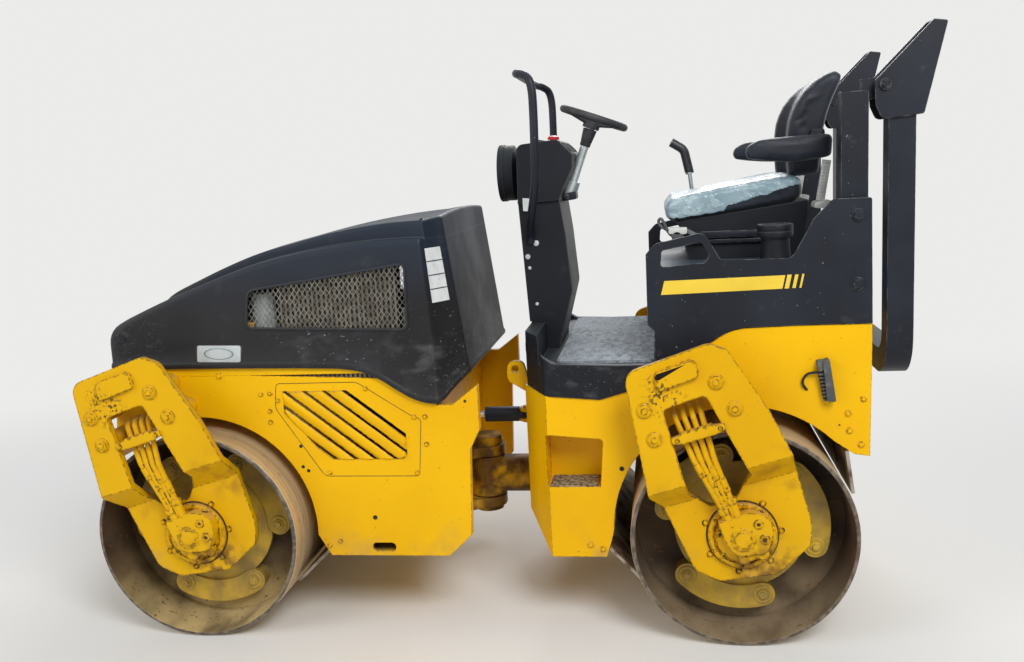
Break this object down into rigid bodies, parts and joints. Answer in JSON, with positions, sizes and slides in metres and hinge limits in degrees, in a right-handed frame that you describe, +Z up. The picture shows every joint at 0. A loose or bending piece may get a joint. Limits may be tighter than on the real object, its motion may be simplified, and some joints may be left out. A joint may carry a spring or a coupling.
{
  "type": "articulated tandem vibratory road roller",
  "caption": "Compact articulated road roller with two steel drums, a black engine hood, an open operator's platform and a folded roll-over hoop.",
  "frame": {"origin": "on the ground under the middle of the machine's box", "axes": "+X towards the machine's rear, +Y to the operator's right, +Z up"},
  "size_m": [2.752, 1.338, 1.8878],
  "materials": {
    "frame_yellow": "satin",
    "black_plastic": "satin",
    "black_steel": "satin",
    "bare_steel": "worn",
    "drum_steel": "dusty",
    "rubber": "matt",
    "mat_rubber": "dusty",
    "seat_vinyl": "matt",
    "chrome_rod": "bright",
    "galvanised": "satin"
  },
  "bodies": {
    "rear_frame": {"rear_frame": "frame_yellow", "steering_knuckle": "frame_yellow", "platform_tub": "black_plastic", "floor_mat": "mat_rubber", "water_tank": "black_plastic", "side_panel_left": "black_steel", "side_panel_right": "black_steel", "roof_posts": "black_steel", "console_pillar": "black_plastic", "dash_pod": "black_plastic", "head_lamp": "black_plastic", "hand_rail": "black_steel", "steering_column": "galvanised", "seat_base": "black_plastic", "seat_cushion": "seat_vinyl", "seat_back": "seat_vinyl", "arm_rests": "seat_vinyl", "drive_lever": "black_steel", "filler_neck": "black_plastic", "tow_eyes": "frame_yellow", "fork_rear": "frame_yellow", "motor_rear": "frame_yellow", "hoses_rear": "frame_yellow", "scrapers_rear": "bare_steel"},
    "front_frame": {"front_frame": "frame_yellow", "steering_lugs": "frame_yellow", "fork_front": "frame_yellow", "motor_front": "frame_yellow", "hoses_front": "frame_yellow", "scraper_front": "bare_steel", "engine": "black_steel", "cooler": "black_steel", "air_filter": "galvanised", "hood_hinges": "black_steel"},
    "hood": {"hood": "black_plastic", "hood_grilles": "black_steel"},
    "front_drum": {"drum_front": "drum_steel", "drum_carrier_front": "frame_yellow"},
    "rear_drum": {"drum_rear": "drum_steel", "drum_carrier_rear": "frame_yellow"},
    "roof_hoop": {"roof_hoop": "black_steel"},
    "steering_wheel": {"steering_wheel": "rubber"},
    "cylinder_barrel": {"cylinder_barrel": "black_steel"},
    "cylinder_rod": {"cylinder_rod": "chrome_rod"}
  },
  "joints": [
    {"name": "steering", "type": "hinge", "parent": "rear_frame", "child": "front_frame", "pos_m": [-0.126, 0, 0.388], "axis": [0, 0, 1], "range_deg": [-20, 20]},
    {"name": "front_drum_roll", "type": "hinge", "parent": "front_frame", "child": "front_drum", "pos_m": [-1.026, 0, 0.35], "axis": [0, 1, 0], "continuous": true},
    {"name": "rear_drum_roll", "type": "hinge", "parent": "rear_frame", "child": "rear_drum", "pos_m": [0.774, 0, 0.35], "axis": [0, 1, 0], "continuous": true},
    {"name": "hood_lift", "type": "hinge", "parent": "front_frame", "child": "hood", "pos_m": [-1.26, 0, 1.018], "axis": [0, -1, 0], "range_deg": [0, 50]},
    {"name": "roof_hoop_swing", "type": "hinge", "parent": "rear_frame", "child": "roof_hoop", "pos_m": [1.203, 0, 1.712], "axis": [0, -1, 0], "range_deg": [0, 180]},
    {"name": "steering_wheel_turn", "type": "hinge", "parent": "rear_frame", "child": "steering_wheel", "pos_m": [0.31005, 0, 1.6548], "axis": [0.3502, 0, 0.9367], "continuous": true},
    {"name": "cylinder_swing", "type": "hinge", "parent": "rear_frame", "child": "cylinder_barrel", "pos_m": [0.05, -0.14, 0.65], "axis": [0, 0, 1], "range_deg": [-6, 6]},
    {"name": "cylinder_stroke", "type": "slide", "parent": "cylinder_barrel", "child": "cylinder_rod", "axis": [1, 0, 0], "range_m": [-0.05, 0.05]}
  ],
  "couplings": [
    {"joint": "cylinder_swing", "follows": "steering", "ratio": 0.27049},
    {"joint": "cylinder_stroke", "follows": "steering", "m_per_rad": 0.13967}
  ]
}
